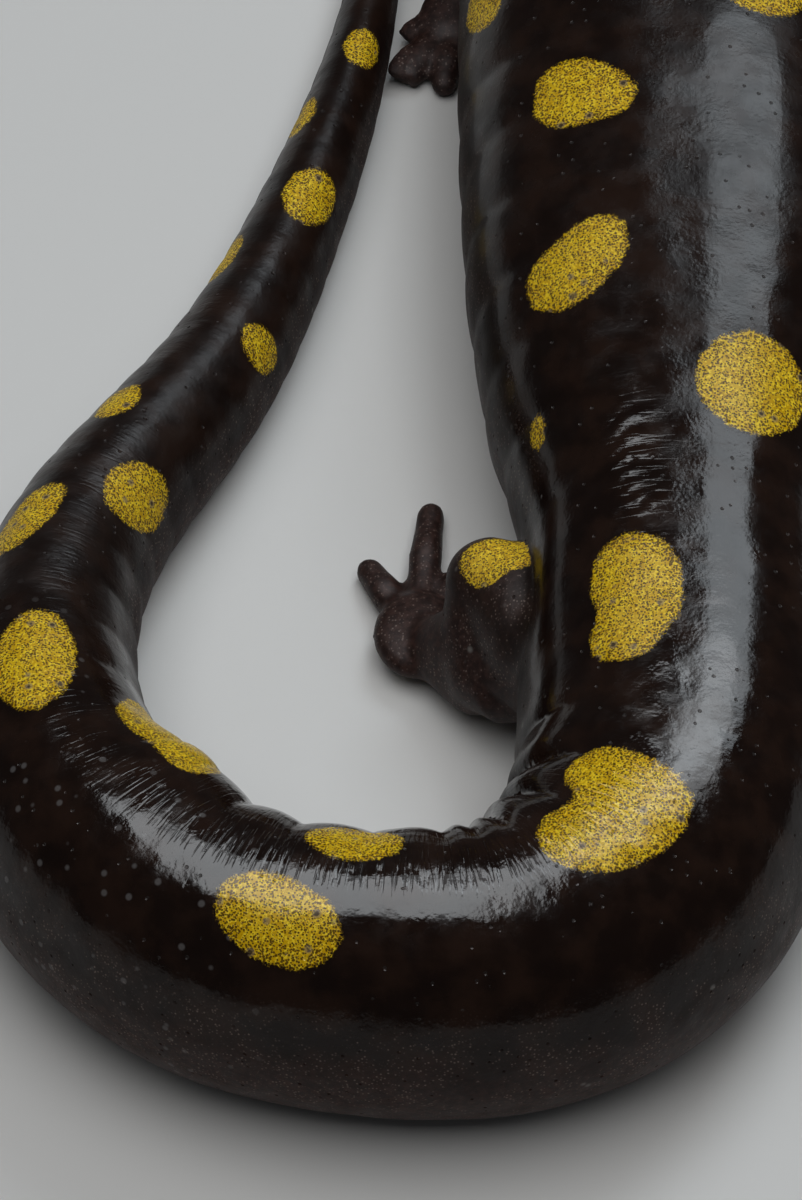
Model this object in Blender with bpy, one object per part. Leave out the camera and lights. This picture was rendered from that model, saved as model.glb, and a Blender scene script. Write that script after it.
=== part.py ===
"""Spotted salamander resting on its belly, its tail curled round along its left side.

A still, life-size model in metres, +Z up. The head faces -Y and the animal's left side is +X.
The floor is z = 0, under the middle of the whole. The working sizes below are in millimetres.
"""

import math

import bmesh
import bpy
import numpy as np
from mathutils import Vector

MM = 0.001
GAP = 0.3  # between one piece and the next
SEAM = 0.001  # points closer than this are one point

# The spine, from the snout to the tip of the tail, as stretches that each turn the body evenly.
SNOUT_HEADING = 99.0  # degrees, of the way from the snout to the tail
STRETCHES = (  # name, length, turn in degrees: minus is towards the animal's left
    ("head", 18, 0),
    ("neck and shoulders", 14, -9),
    ("trunk", 60, 0),
    ("tail root", 7, -18),
    ("sharp bend", 12, -70),
    ("wide bend", 30, -99),
    ("closing bend", 9, -24),
    ("side run", 5, 0),
    ("easing", 8, 12),
    ("tip run", 43, 24),
)
BEND_BLEND = 2.5  # how far each turn runs into the next stretch
SPINE_STEP = 0.25
VENT = 92.0  # from the snout, along the spine
VENT_AT = (-5.2, 36.16)
TAIL_TIP = float(sum(run for _, run, _ in STRETCHES))

# The outline of the body: distance from the snout, half width, underside, back, squareness.
OUTLINE = (
    (0, 5.2, 1.2, 7.6, 2.2),
    (4.5, 6.9, 1.3, 8.5, 2.3),
    (8.5, 7.9, 1.2, 9.4, 2.4),
    (13, 8.4, 1.0, 10.0, 2.4),
    (17.5, 7.7, 0.8, 10.1, 2.3),
    (21.5, 6.9, 0.5, 10.1, 2.2),
    (27, 7.4, 0.1, 11.0, 2.2),
    (33, 8.5, -0.25, 12.2, 2.2),
    (44, 9.4, -0.25, 13.5, 2.3),
    (56, 9.6, -0.25, 13.9, 2.3),
    (67, 9.4, -0.25, 13.7, 2.3),
    (75, 8.6, -0.25, 13.1, 2.2),
    (84, 6.9, -0.25, 12.5, 2.2),
    (92, 7.2, -0.25, 12.3, 2.1),
    (100, 6.8, -0.25, 12.3, 2.1),
    (113, 5.8, -0.25, 12.3, 2.05),
    (122, 5.5, -0.25, 12.0, 2.05),
    (133, 4.8, -0.25, 11.0, 2.0),
    (142, 3.8, -0.25, 9.4, 2.0),
    (149, 3.25, -0.2, 8.0, 2.0),
    (157, 2.8, -0.2, 6.7, 1.95),
    (165, 2.3, -0.2, 5.6, 1.95),
    (173, 1.85, -0.15, 4.6, 1.9),
    (181, 1.4, -0.15, 3.6, 1.9),
    (190, 0.95, -0.1, 2.4, 1.9),
    (196, 0.7, -0.1, 1.6, 1.9),
)
GIRTH_LEVEL = 0.45  # the widest level, as a share of the height
SNOUT_ROUND, SNOUT_LEVEL = 4.0, 4.9
TAIL_ROUND, TAIL_LEVEL = 2.5, 0.6

# The folds of the flank between the limbs.
GROOVES = 12
GROOVE_FIRST, GROOVE_LAST = 36.0, 79.0
GROOVE_DEPTH = 0.3

# Where the skin of the tail's bend bunches up: from the snout, above the left flank in degrees,
# how far it reaches both ways along and round the tail, and how far it stands out.
BULGE_AT, BULGE_ANGLE = 127.0, 33.0
BULGE_LENGTH, BULGE_TURN, BULGE_HEIGHT = 4.2, 32.0, 1.0

BODY_SIDES = 24
BODY_LENGTHS = (  # name, start, end, rings between
    ("head", 0, 18, 12),
    ("neck", 18, 26, 5),
    ("trunk", 26, 95, 39),
    ("tail_base", 95, 111, 9),
    ("tail_bend", 111, 134, 11),
    ("tail_middle", 134, 160, 11),
    ("tail_tip", 160, TAIL_TIP, 14),
)

EYE_FROM_SNOUT = 6.8
ORBIT_OUT, ORBIT_LEVEL, ORBIT_RADIUS = 4.5, 7.1, 2.35
EYE_RADIUS, EYE_PROUD = 1.65, 0.85
EYE_LOOK = (0.78, -0.12, 0.61)  # out, back, up

# A limb's joints as (out from the spine, from the snout along it, above the floor): root, elbow
# or knee, wrist or ankle, palm. Toes are degrees outward from straight ahead, and their reach.
LIMBS = (  # name, side, joints, the way the palm points, toes from the innermost out
    (
        "fore_left", 1,
        ((4.3, 31.5, 5.6), (8.9, 38.0, 4.0), (9.3, 44.4, 1.9), (9.7, 47.2, 1.15)),
        160, ((196, 3.3), (173, 4.6), (149, 4.6), (118, 2.6)),
    ),
    (
        "fore_right", -1,
        ((4.3, 31.5, 6.0), (10.6, 34.6, 5.2), (14.6, 29.6, 2.2), (16.2, 27.2, 1.15)),
        25, ((-14, 3.6), (12, 5.0), (38, 5.0), (68, 3.6)),
    ),
    (
        "hind_left", 1,
        ((3.2, 89.2, 5.4), (8.3, 84.6, 5.5), (8.9, 87.6, 2.1), (11.5, 84.2, 1.25)),
        2, ((-72, 3.6), (-50, 4.8), (-30, 5.8), (-5, 7.9), (27, 5.2)),
    ),
    (
        "hind_right", -1,
        ((3.2, 88.6, 5.8), (10.6, 83.4, 5.8), (13.9, 88.0, 2.2), (16.6, 86.4, 1.25)),
        46, ((-6, 3.8), (18, 5.6), (40, 6.4), (62, 5.8), (88, 4.2)),
    ),
)
LIMB_PARTS = {"fore": ("upper_arm", "forearm", "hand"), "hind": ("thigh", "shin", "foot")}
UPPER_RADII = {"fore": (2.7, 2.45, 1.8), "hind": (4.2, 3.4, 2.1)}  # root, belly of it, joint
LOWER_RADII = {"fore": (1.7, 1.75, 1.2), "hind": (1.95, 1.95, 1.35)}
LIMB_SIDES, LIMB_RINGS = 12, 9
PALM = {"fore": (2.0, 1.6, 0.95), "hind": (2.35, 1.95, 1.0)}  # half length, half width, half height
TOE_SIDES, TOE_RINGS = 8, 7
TOE_THICK, TOE_THIN = 0.78, 0.55  # radii at the palm and near the tip
TOE_RISE, TOE_DROP = 0.9, 0.48  # level of its middle line at the palm and at the tip

SKIN = ((0.014, 0.011, 0.010), 0.28)  # colour, roughness
EYE = ((0.006, 0.005, 0.005), 0.06)


def smoothstep(t):
    t = np.clip(t, 0, 1)
    return t * t * (3 - 2 * t)


def trace_spine():
    """Distances from the snout, and the spine's x, y and heading there, in radians."""
    run = np.arange(0, TAIL_TIP + SPINE_STEP, SPINE_STEP)
    heading = np.full(len(run), math.radians(SNOUT_HEADING))
    start = 0.0
    for _, length, turn in STRETCHES:
        share = (run - start + BEND_BLEND) / (length + 2 * BEND_BLEND)
        heading += math.radians(turn) * smoothstep(share)
        start += length
    x = np.cumsum(np.cos(heading)) * SPINE_STEP
    y = np.cumsum(np.sin(heading)) * SPINE_STEP
    x += VENT_AT[0] - np.interp(VENT, run, x)
    y += VENT_AT[1] - np.interp(VENT, run, y)
    return run, x, y, heading


SPINE = trace_spine()


def spine_frame(distance):
    """The spine's point on the floor, the way towards the tail, and the way to the animal's left."""
    run, x, y, heading = SPINE
    angle = np.interp(distance, run, heading)
    along = Vector((math.cos(angle), math.sin(angle), 0))
    point = Vector((np.interp(distance, run, x), np.interp(distance, run, y), 0))
    return point, along, Vector((along.y, -along.x, 0))


def by_spine(out, distance, level):
    """The point that lies out to the left of the spine, at a distance from the snout and a level."""
    point, _, left = spine_frame(distance)
    return point + left * out + Vector((0, 0, level))


def smooth_curve(stations, values):
    """The smooth curve through the values that never overshoots them, as a function."""
    x, y = np.array(stations, float), np.array(values, float)
    slope = np.diff(y) / np.diff(x)
    product = slope[:-1] * slope[1:]
    total = np.where(product > 0, slope[:-1] + slope[1:], 1)
    lean = np.concatenate([[slope[0]], np.where(product > 0, 2 * product / total, 0), [slope[-1]]])

    def at(where):
        where = min(max(where, x[0]), x[-1])
        i = min(int(np.searchsorted(x, where, "right")) - 1, len(x) - 2)
        wide = x[i + 1] - x[i]
        t = (where - x[i]) / wide
        rise = t * t * (3 - 2 * t)
        start, end = t * (1 - t) ** 2, t * t * (t - 1)
        return float(y[i] + (y[i + 1] - y[i]) * rise + wide * (start * lean[i] + end * lean[i + 1]))

    return at


HALF_WIDTH, UNDERSIDE, BACK, SQUARENESS = (
    smooth_curve([row[0] for row in OUTLINE], [row[column] for row in OUTLINE])
    for column in (1, 2, 3, 4)
)


def round_off(from_end, length):
    """How a rounded end closes: 0 at the end, 1 from that length on."""
    rest = 1 - min(max(from_end / length, 0), 1)
    return math.sqrt(1 - rest * rest)


def groove(distance, height_share):
    """How deep a fold of the flank is at a point of the body."""
    if not GROOVE_FIRST <= distance <= GROOVE_LAST:
        return 0.0
    turns = (distance - GROOVE_FIRST) / (GROOVE_LAST - GROOVE_FIRST) * (GROOVES - 1)
    ripple = 0.5 + 0.5 * math.cos(2 * math.pi * turns)
    return GROOVE_DEPTH * ripple * (1 - abs(2 * height_share - 1) ** 3)


def bulge(distance, angle):
    """How far the bunched skin of the bend stands out at a point of the tail."""
    turn = (math.degrees(angle) - BULGE_ANGLE + 180) % 360 - 180
    away = ((distance - BULGE_AT) / BULGE_LENGTH) ** 2 + (turn / BULGE_TURN) ** 2
    return BULGE_HEIGHT * math.exp(-away)


def body_point(distance, angle, grow=0.0):
    """A point on the body. Angle 0 is the left flank, and a quarter turn is the back."""
    nose, tail = round_off(distance, SNOUT_ROUND), round_off(TAIL_TIP - distance, TAIL_ROUND)
    end_level = SNOUT_LEVEL if distance < VENT else TAIL_LEVEL
    close = nose * tail
    low = end_level + (UNDERSIDE(distance) - end_level) * close
    high = end_level + (BACK(distance) - end_level) * close
    middle = low + (high - low) * GIRTH_LEVEL
    power = 2 / SQUARENESS(distance)
    out, up = math.cos(angle), math.sin(angle)
    half = HALF_WIDTH(distance) * close
    level = middle + abs(up) ** power * ((high if up > 0 else low) - middle)
    share = (level - low) / max(high - low, SEAM)
    reach = half + grow - groove(distance, share) if half > 0 else 0.0
    push = bulge(distance, angle)
    level += (grow + push) * up
    return by_spine(math.copysign(abs(out) ** power, out) * reach + push * out, distance, level)


def rolled(along, around, place):
    """A grid rolled into a closed tube. place(u, v) gives a point, u from 0 to 1 along it."""
    mesh = bmesh.new()
    bmesh.ops.create_grid(mesh, x_segments=along, y_segments=around, size=0.5)
    for vert in mesh.verts:
        vert.co = place(vert.co.x + 0.5, vert.co.y + 0.5)
    bmesh.ops.remove_doubles(mesh, verts=mesh.verts, dist=SEAM)
    bmesh.ops.holes_fill(mesh, edges=mesh.edges, sides=0)
    bmesh.ops.recalc_face_normals(mesh, faces=mesh.faces)
    return mesh


def cut(mesh, point, normal, keep_ahead):
    """Cuts a closed mesh by a plane, keeps one side of it and closes the cut."""
    bmesh.ops.bisect_plane(
        mesh, geom=mesh.verts[:] + mesh.edges[:] + mesh.faces[:], dist=SEAM / 10,
        plane_co=point, plane_no=normal, clear_inner=keep_ahead, clear_outer=not keep_ahead,
    )
    bmesh.ops.holes_fill(mesh, edges=[edge for edge in mesh.edges if edge.is_boundary], sides=0)
    return mesh


def stand_on_floor(mesh):
    """Takes off what would lie under the floor, which leaves small flats at its level."""
    return cut(mesh, Vector(), Vector((0, 0, 1)), keep_ahead=True)


def body_length(start, end, rings, grow=0.0, margin=GAP / 2):
    """A length of head, trunk or tail between two distances from the snout."""
    first = start + margin if start > 0 else 0.0
    last = end - margin if end < TAIL_TIP else TAIL_TIP

    def place(u, v):
        # Rings crowd towards the two ends of the animal, where the outline turns quickly.
        if start == 0:
            u = 1 - math.cos(u * math.pi / 2)
        elif end == TAIL_TIP:
            u = math.sin(u * math.pi / 2)
        return body_point(first + (last - first) * u, v * 2 * math.pi, grow)

    return rolled(rings, BODY_SIDES, place)


def carried_frames(points):
    """For each point of a path, two unit vectors square to it that don't twist along it."""
    count = len(points)
    ways = [(points[min(i + 1, count - 1)] - points[max(i - 1, 0)]).normalized() for i in range(count)]
    side = ways[0].orthogonal().normalized()
    frames = []
    for i, way in enumerate(ways):
        if i:
            side = ways[i - 1].rotation_difference(way) @ side
        frames.append((side.copy(), way.cross(side).normalized()))
    return frames


def tube(path, radii, sides):
    """A round tube along a path, closed to a point at both ends where its radius is nothing."""
    frames = carried_frames(path)
    last = len(path) - 1

    def place(u, v):
        i = round(u * last)
        side, other = frames[i]
        angle = v * 2 * math.pi
        return path[i] + (side * math.cos(angle) + other * math.sin(angle)) * radii[i]

    return rolled(last, sides, place)


def bone(start, end, radii, grow=0.0):
    """A straight length of limb with a swelling, ball-ended, from one joint to the next."""
    knots = (0.0, 0.5, 1.0)
    girth = smooth_curve(knots, radii)
    length = (end - start).length
    before, after = radii[0] + grow, length + radii[-1] + grow
    path, girths = [], []
    for i in range(LIMB_RINGS + 1):
        # Rings crowd towards the balls at the ends.
        share = 0.5 - 0.5 * math.cos(math.pi * i / LIMB_RINGS)
        at = -before + (before + after) * share
        path.append(start + (end - start) * (at / length))
        radius = girth(at / length) + grow
        girths.append(radius * round_off(at + before, before) * round_off(after - at, radii[-1] + grow))
    return tube(path, girths, LIMB_SIDES)


def toe(palm, way, reach):
    """A toe from inside the palm to its blunt tip, just bent down to the floor."""
    path, radii = [], []
    for i in range(TOE_RINGS + 1):
        share = 0.5 - 0.5 * math.cos(math.pi * i / TOE_RINGS)
        level = TOE_RISE + (TOE_DROP - TOE_RISE) * share
        path.append(Vector((palm.x, palm.y, level)) + way * (reach * share))
        thickness = TOE_THICK + (TOE_THIN - TOE_THICK) * share
        from_tip, from_root = reach * (1 - share), reach * share
        radii.append(thickness * round_off(from_tip, TOE_THIN) * round_off(from_root, TOE_THICK))
    return tube(path, radii, TOE_SIDES)


def palm_pad(palm, way, size):
    """The flattened pad that the toes grow from, longest in the way that it points."""
    pad = bmesh.new()
    bmesh.ops.create_uvsphere(pad, u_segments=14, v_segments=8, radius=1)
    across = Vector((way.y, -way.x, 0))
    for vert in pad.verts:
        long, wide, high = (vert.co[axis] * size[axis] for axis in range(3))
        vert.co = palm + way * long + across * wide + Vector((0, 0, high))
    bmesh.ops.recalc_face_normals(pad, faces=pad.faces)
    return pad


def foot_way(side, distance, outward):
    """The way that a foot or toe points: outward degrees away from straight ahead."""
    _, along, left = spine_frame(distance)
    angle = math.radians(outward)
    return left * (side * math.sin(angle)) - along * math.cos(angle)


def as_object(name, mesh):
    """A shown object with the mesh, which is in millimetres, and its material."""
    bmesh.ops.scale(mesh, vec=(MM,) * 3, verts=mesh.verts)
    data = bpy.data.meshes.new(name)
    mesh.to_mesh(data)
    mesh.free()
    made = bpy.data.objects.new(name, data)
    bpy.context.scene.collection.objects.link(made)
    return made


def combine(name, base, others, operation):
    """One closed mesh from a base and others, by Booleans that are then made final."""
    target = as_object(name, base)
    helpers = [as_object(f"{name}_helper_{i}", other) for i, other in enumerate(others)]
    for helper in helpers:
        step = target.modifiers.new(helper.name, "BOOLEAN")
        step.operation = operation
        step.solver = "EXACT"
        step.object = helper
    graph = bpy.context.evaluated_depsgraph_get()
    result = bmesh.new()
    result.from_object(target, graph)
    bmesh.ops.scale(result, vec=(1 / MM,) * 3, verts=result.verts)
    bmesh.ops.remove_doubles(result, verts=result.verts, dist=SEAM)
    for helper in [target, *helpers]:
        mesh = helper.data
        bpy.data.objects.remove(helper)
        bpy.data.meshes.remove(mesh)
    return result


def material(name, colour, roughness):
    made = bpy.data.materials.new(name)
    made.use_nodes = True
    shader = made.node_tree.nodes["Principled BSDF"]
    shader.inputs["Base Color"].default_value = (*colour, 1)
    shader.inputs["Roughness"].default_value = roughness
    shader.inputs["Metallic"].default_value = 0
    return made


def finish(name, mesh, look):
    """The named node: shaded smooth, its edges sharp only at the cuts."""
    node = as_object(name, mesh)
    node.data.shade_smooth()
    node.data.set_sharp_from_angle(angle=math.radians(50))
    node.data.materials.append(look)
    return node


def ball(centre, radius, segments):
    mesh = bmesh.new()
    bmesh.ops.create_uvsphere(mesh, u_segments=segments, v_segments=segments // 2, radius=radius)
    bmesh.ops.translate(mesh, vec=centre, verts=mesh.verts)
    return mesh


def eye_places(side):
    """The middle of the orbit's bulge, and of the eyeball that stands proud of it."""
    _, along, left = spine_frame(EYE_FROM_SNOUT)
    orbit = by_spine(side * ORBIT_OUT, EYE_FROM_SNOUT, ORBIT_LEVEL)
    out, back, up = EYE_LOOK
    look = (left * (side * out) + along * back + Vector((0, 0, up))).normalized()
    return orbit, orbit + look * EYE_PROUD


def build_head(skin, eye_look):
    name, start, end, rings = BODY_LENGTHS[0]
    head = body_length(start, end, rings)
    places = [eye_places(side) for side in (1, -1)]
    head = combine("orbits", head, [ball(orbit, ORBIT_RADIUS, 18) for orbit, _ in places], "UNION")
    sockets = [ball(eye, EYE_RADIUS + GAP, 18) for _, eye in places]
    head = combine("sockets", head, sockets, "DIFFERENCE")
    finish(name, head, skin)
    for side_name, (_, eye) in zip(("left", "right"), places):
        finish(f"eye_{side_name}", ball(eye, EYE_RADIUS, 16), eye_look)


def build_lengths(skin):
    """The neck, the trunk and the lengths of the tail, each with its flat where it rests."""
    for name, start, end, rings in BODY_LENGTHS[1:]:
        finish(name, stand_on_floor(body_length(start, end, rings)), skin)


def trunk_room():
    """The trunk with the gap round it."""
    _, start, end, rings = BODY_LENGTHS[2]
    return body_length(start, end, rings, grow=GAP, margin=-GAP)


def build_limb(limb, skin):
    """Three pieces, each hollowed where the one before it would press into it."""
    name, side, joints, palm_turn, toes = limb
    kind = name.split("_")[0]
    root, knee, ankle, palm = (
        by_spine(side * out, distance, level) for out, distance, level in joints
    )
    upper = combine("upper", bone(root, knee, UPPER_RADII[kind]), [trunk_room()], "DIFFERENCE")
    upper_room = bone(root, knee, UPPER_RADII[kind], grow=GAP)
    lower = bone(knee, ankle, LOWER_RADII[kind])
    lower = combine("lower", lower, [upper_room, trunk_room()], "DIFFERENCE")
    at = joints[-1][1]
    pad = palm_pad(palm, foot_way(side, at, palm_turn), PALM[kind])
    grown = [toe(palm, foot_way(side, at, outward), reach) for outward, reach in toes]
    lower_room = bone(knee, ankle, LOWER_RADII[kind], grow=GAP)
    foot = combine("toes", pad, grown, "UNION")
    foot = combine("foot", foot, [lower_room, trunk_room()], "DIFFERENCE")
    for part, piece in zip(LIMB_PARTS[kind], (upper, lower, foot)):
        finish(f"{name}_{part}", stand_on_floor(piece), skin)


def main():
    for old in list(bpy.data.objects):
        bpy.data.objects.remove(old)
    skin, eye_look = material("skin", *SKIN), material("eye", *EYE)
    build_head(skin, eye_look)
    build_lengths(skin)
    for limb in LIMBS:
        build_limb(limb, skin)


main()
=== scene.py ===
"""Spotted salamander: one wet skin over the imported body, its spots, folds and lids, and its eyes.

Working sizes are in millimetres in the row's frame, and are scaled to metres at the end. The body
is first shaped straight along its spine, as distance from the snout, side and level.
"""

import math

import bmesh
import bpy
import numpy as np
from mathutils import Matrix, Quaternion, Vector, noise


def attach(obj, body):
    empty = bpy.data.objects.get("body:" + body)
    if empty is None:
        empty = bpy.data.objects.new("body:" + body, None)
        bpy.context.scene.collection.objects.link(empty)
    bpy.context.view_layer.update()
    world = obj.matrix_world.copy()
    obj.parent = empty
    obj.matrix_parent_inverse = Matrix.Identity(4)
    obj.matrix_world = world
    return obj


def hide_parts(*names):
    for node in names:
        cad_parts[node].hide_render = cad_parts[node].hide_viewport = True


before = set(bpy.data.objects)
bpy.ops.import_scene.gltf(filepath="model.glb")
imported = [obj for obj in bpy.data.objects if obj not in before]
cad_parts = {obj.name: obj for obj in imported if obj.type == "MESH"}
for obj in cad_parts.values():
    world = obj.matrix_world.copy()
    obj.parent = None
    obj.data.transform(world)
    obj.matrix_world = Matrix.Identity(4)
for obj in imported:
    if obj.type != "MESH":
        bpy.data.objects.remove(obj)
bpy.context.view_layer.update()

MM = 0.001

# ---------------- sizes of the body
SNOUT_HEADING = 99.0
STRETCHES = (  # length, turn in degrees: minus is towards the animal's left
    (18, 0), (14, -9), (60, 0), (7, -18), (12, -70), (30, -99), (9, -24), (5, 0), (8, 12), (43, 24),
)
BEND_BLEND = 2.5
SPINE_STEP = 0.25
VENT, VENT_AT = 92.0, (-5.2, 36.16)
TAIL_TIP = float(sum(run for run, _ in STRETCHES))

OUTLINE = (  # distance from the snout, half width, underside, back, squareness
    (0, 5.2, 1.2, 7.6, 2.2),
    (4.5, 6.9, 1.3, 8.5, 2.3),
    (8.5, 7.9, 1.2, 9.4, 2.4),
    (13, 8.4, 1.0, 10.0, 2.4),
    (17.5, 7.7, 0.8, 10.1, 2.3),
    (21.5, 6.9, 0.5, 10.1, 2.2),
    (27, 7.4, 0.1, 11.0, 2.2),
    (33, 8.5, -0.25, 12.2, 2.2),
    (44, 9.4, -0.25, 13.5, 2.3),
    (56, 9.6, -0.25, 13.9, 2.3),
    (67, 9.4, -0.25, 13.7, 2.3),
    (75, 8.6, -0.25, 13.1, 2.2),
    (84, 6.9, -0.25, 12.5, 2.2),
    (92, 7.2, -0.25, 12.3, 2.1),
    (100, 6.8, -0.25, 12.3, 2.1),
    (113, 5.8, -0.25, 12.3, 2.05),
    (122, 5.5, -0.25, 12.0, 2.05),
    (133, 4.8, -0.25, 11.0, 2.0),
    (142, 3.8, -0.25, 9.4, 2.0),
    (149, 3.25, -0.2, 8.0, 2.0),
    (157, 2.8, -0.2, 6.7, 1.95),
    (165, 2.3, -0.2, 5.6, 1.95),
    (173, 1.85, -0.15, 4.6, 1.9),
    (181, 1.4, -0.15, 3.6, 1.9),
    (190, 0.95, -0.1, 2.4, 1.9),
    (196, 0.7, -0.1, 1.6, 1.9),
)
GIRTH_LEVEL = 0.45
SNOUT_ROUND, SNOUT_LEVEL = 4.0, 4.9
TAIL_ROUND, TAIL_LEVEL = 2.5, 0.6

EYE_FROM_SNOUT = 6.8
ORBIT_OUT, ORBIT_LEVEL, ORBIT_RADIUS = 4.5, 7.1, 2.35
EYE_RADIUS, EYE_PROUD = 1.65, 0.85
EYE_LOOK = (0.78, -0.12, 0.61)  # out, towards the tail, and up
CORNEA_BULGE, CORNEA_TO = 0.035, (0.75, 0.5)  # a share of the radius, and radians

# Joints as (out from the spine, from the snout, above the floor), the way the palm points, and
# toes as degrees outward from straight ahead and reach.
LIMBS = (
    ("fore", 1, ((4.3, 31.5, 5.6), (8.9, 38.0, 4.0), (9.3, 44.4, 1.9), (9.7, 47.2, 1.15)),
     160, ((196, 3.3), (173, 4.6), (149, 4.6), (118, 2.6))),
    ("fore", -1, ((4.3, 31.5, 6.0), (10.6, 34.6, 5.2), (14.6, 29.6, 2.2), (16.2, 27.2, 1.15)),
     25, ((-14, 3.6), (12, 5.0), (38, 5.0), (68, 3.6))),
    ("hind", 1, ((3.2, 89.2, 5.4), (8.3, 84.6, 5.5), (8.9, 87.6, 2.1), (11.5, 84.2, 1.25)),
     2, ((-72, 3.6), (-50, 4.8), (-30, 5.8), (-5, 7.9), (27, 5.2))),
    ("hind", -1, ((3.2, 88.6, 5.8), (10.6, 83.4, 5.8), (13.9, 88.0, 2.2), (16.6, 86.4, 1.25)),
     46, ((-6, 3.8), (18, 5.6), (40, 6.4), (62, 5.8), (88, 4.2))),
)
UPPER_RADII = {"fore": (2.7, 2.4, 1.75), "hind": (4.2, 3.35, 2.05)}
LOWER_RADII = {"fore": (1.7, 1.75, 1.2), "hind": (1.95, 1.95, 1.35)}
PALM = {"fore": (2.0, 1.6, 0.95), "hind": (2.35, 1.95, 1.0)}
TOE_THICK, TOE_THIN = 0.84, 0.62
TOE_RISE, TOE_DROP = 0.9, 0.5
TOE_TOP = 1.9
KNUCKLE_AT, KNUCKLE_LIFT, KNUCKLE_SWELL = 0.62, 0.16, 0.07
KNUCKLE_LIFT_REACH, KNUCKLE_SWELL_REACH = 0.13, 0.1
WRIST_SHARE, WRIST_END = 0.98, 1.0

# Flesh that fills the bend between a limb and the body.
FLESH = (
    ((3.4, 90.8, 4.6), (8.7, 87.6, 2.9), (3.0, 2.3, 1.6)),
    ((8.3, 86.6, 3.9), (10.9, 84.8, 1.3), (1.9, 1.7, 1.15)),
    ((-3.4, 90.4, 4.8), (-10.2, 86.2, 4.0), (3.0, 2.1, 1.3)),
)

# Spots as (from the snout, round from the middle of the back, half length, half girth, tilt in
# degrees); plus is the left side. Rows that share a spot melt into it.
SPOTS = (
    # head and neck
    (9.6, 3.9, 1.35, 1.2, 0), (9.2, -4.1, 1.2, 1.1, 20),
    (3.0, 1.9, 0.75, 0.6, 0), (3.4, -2.2, 0.6, 0.75, 0),
    (15.2, 4.3, 1.9, 1.55, 15), (14.6, -4.5, 1.7, 1.8, -10), (17.0, -5.2, 1.1, 1.2, 0),
    (22.4, 3.4, 1.6, 1.45, -20), (24.2, -3.9, 1.9, 1.6, 25),
    # shoulders and trunk
    (31.0, 4.2, 2.1, 1.9, 0), (33.4, -4.0, 1.9, 2.2, 10), (32.2, -2.6, 1.1, 1.0, 0),
    (39.6, 4.7, 2.4, 2.1, -15), (42.2, -4.4, 2.2, 2.0, 0),
    (47.6, 4.1, 1.7, 2.2, 0), (46.3, 5.6, 1.3, 1.2, 0), (50.4, -4.5, 2.4, 2.1, 20),
    (54.6, 3.6, 1.5, 1.6, 0), (55.2, 8.8, 1.7, 1.1, -50), (56.7, -3.5, 1.75, 1.9, 0),
    (62.9, 4.1, 1.95, 1.65, -10), (63.3, 2.75, 1.35, 1.2, -15),
    (72.8, 4.7, 1.75, 1.65, 25), (71.9, 3.5, 1.85, 1.4, 25),
    (68.3, -8.6, 1.9, 1.5, 0), (79.0, -2.85, 2.65, 2.35, 0),
    (79.8, 6.6, 0.85, 0.5, 0), (86.6, -7.2, 1.3, 1.1, 0),
    (89.2, 2.2, 2.15, 1.9, -12), (92.3, 2.6, 1.75, 1.5, 20), (91.0, 1.8, 1.5, 1.4, 0),
    # tail
    (102.9, -0.2, 3.1, 2.1, 15), (101.1, 2.1, 1.75, 1.5, 0), (100.9, 0.7, 1.4, 1.4, 0),
    (104.9, 0.6, 1.6, 1.6, 0),
    (115.1, 2.6, 2.25, 1.5, 0), (117.5, -2.2, 2.55, 1.85, 25),
    (126.6, 4.6, 2.2, 1.55, 0), (130.4, 4.8, 2.7, 1.9, 10),
    (134.9, -0.15, 3.0, 1.95, 12), (143.9, -1.8, 2.3, 1.35, 25),
    (147.7, 2.7, 2.05, 1.7, 10), (152.1, -1.6, 1.3, 1.15, 0),
    (159.0, 2.4, 1.0, 1.2, 0), (168.2, 0.9, 1.8, 1.4, 10), (178.5, 0.6, 1.25, 1.0, 0),
    (163.6, -2.3, 1.6, 1.0, 0), (173.6, -1.6, 1.3, 0.9, 0), (184.6, -0.9, 1.2, 0.7, 0),
    (190.8, 0.6, 1.1, 0.6, 0), (197.6, -0.3, 0.9, 0.5, 0),
    (97.6, -9.6, 1.5, 1.3, 0),
)

# ---------------- folds and lumps of the skin
# From here on, a name with AT holds a middle and how far the feature reaches on both sides of it.
# One with FROM or TO holds where a feature begins or ends, and over how far it fades in or out.
# Places are distances from the snout. TURN is in degrees from the middle of the back, and AROUND
# in millimetres round from it.
SLOW_LUMPS, QUICK_LUMPS = 4.0, 1.3  # over how far they change
SLOW_LIFT, QUICK_LIFT = 0.05, 0.018
SEED_SHIFT = (17.3, 5.1, 9.7)

GROOVES, GROOVE_FIRST, GROOVE_LAST, GROOVE_FADE = 12, 36.0, 79.0, 2
GROOVE_SWELL, GROOVE_DEPTH, GROOVE_WIDTHS = 0.03, 0.06, (0.5, 1.2)
FLANK_TURN_FROM, FLANK_TURN_TO = (25, 35), (158, 20)

RING_STEP = 3.7  # from one ring of the tail's root to the next
RING_STEP_LEAST, RING_STEP_MORE, RING_STEP_TO = 0.55, 0.45, (165, 50)  # shares of that step
RING_WANDER = 0.05  # how much the grooves and rings stray, as a share of one
RING_DEPTH, RING_DEEPER_INSIDE, RING_LEAST, RING_MOST = 0.05, 0.34, 0.01, 0.5
RING_TURN_FROM, RING_TURN_TO = (12, 40), (168, 25)
RING_DEEP_TO, RING_SHALLOW, RING_SHALLOW_AT = (128, 10), 0.03, (131, 5)

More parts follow.
